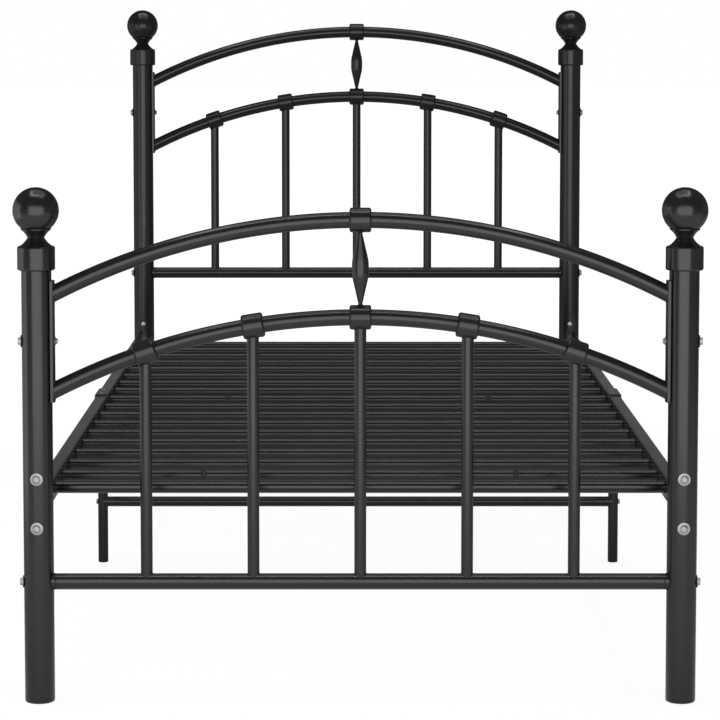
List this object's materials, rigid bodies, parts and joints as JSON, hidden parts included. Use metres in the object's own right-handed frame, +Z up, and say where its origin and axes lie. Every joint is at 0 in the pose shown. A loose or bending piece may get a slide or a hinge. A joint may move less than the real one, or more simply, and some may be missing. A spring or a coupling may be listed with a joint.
{
  "type": "metal_bed_frame",
  "caption": "Black powder-coated single metal bed frame with arched end panels, upright spindles, cast bobbins, ball finials, tube slats and a pair of middle legs",
  "frame": {"origin": "on the floor, in the middle of the bed, midway between the four posts", "axes": "+X across the bed to its right as seen from the footboard, +Y along the bed from the footboard to the headboard, +Z up"},
  "size_m": [1.001, 2.126, 1.0129],
  "materials": {
    "black_powder_coat": "satin",
    "black_slat_coat": "satin",
    "black_plastic": "gloss",
    "black_casting": "satin",
    "zinc_fastener": "satin"
  },
  "bodies": {
    "root": {"foot_post_left": "black_powder_coat", "foot_post_right": "black_powder_coat", "foot_finial_left": "black_plastic", "foot_finial_right": "black_plastic", "foot_arch_upper": "black_powder_coat", "foot_arch_lower": "black_powder_coat", "foot_bottom_bar": "black_powder_coat", "foot_side_plate_left": "black_powder_coat", "foot_side_plate_right": "black_powder_coat", "foot_spindle_1": "black_powder_coat", "foot_spindle_2": "black_powder_coat", "foot_spindle_3": "black_powder_coat", "foot_spindle_4": "black_powder_coat", "foot_spindle_5": "black_powder_coat", "foot_leaf": "black_casting", "head_post_left": "black_powder_coat", "head_post_right": "black_powder_coat", "head_finial_left": "black_plastic", "head_finial_right": "black_plastic", "head_arch_upper": "black_powder_coat", "head_arch_lower": "black_powder_coat", "head_bottom_bar": "black_powder_coat", "head_side_plate_left": "black_powder_coat", "head_side_plate_right": "black_powder_coat", "head_spindle_1": "black_powder_coat", "head_spindle_2": "black_powder_coat", "head_spindle_3": "black_powder_coat", "head_spindle_4": "black_powder_coat", "head_spindle_5": "black_powder_coat", "head_leaf": "black_casting", "side_rail_front_left": "black_powder_coat", "side_rail_front_right": "black_powder_coat", "side_rail_rear_left": "black_powder_coat", "side_rail_rear_right": "black_powder_coat", "foot_rail_bracket_left": "zinc_fastener", "foot_rail_bracket_right": "zinc_fastener", "head_rail_bracket_left": "zinc_fastener", "head_rail_bracket_right": "zinc_fastener", "middle_leg_left": "black_powder_coat", "middle_leg_right": "black_powder_coat", "middle_crossbar": "black_powder_coat", "slat_01": "black_slat_coat", "slat_02": "black_slat_coat", "slat_03": "black_slat_coat", "slat_04": "black_slat_coat", "slat_05": "black_slat_coat", "slat_06": "black_slat_coat", "slat_07": "black_slat_coat", "slat_08": "black_slat_coat", "slat_09": "black_slat_coat", "slat_10": "black_slat_coat", "slat_11": "black_slat_coat", "slat_12": "black_slat_coat", "slat_13": "black_slat_coat", "slat_14": "black_slat_coat", "slat_15": "black_slat_coat", "slat_16": "black_slat_coat", "slat_17": "black_slat_coat", "slat_18": "black_slat_coat"}
  },
  "joints": []
}
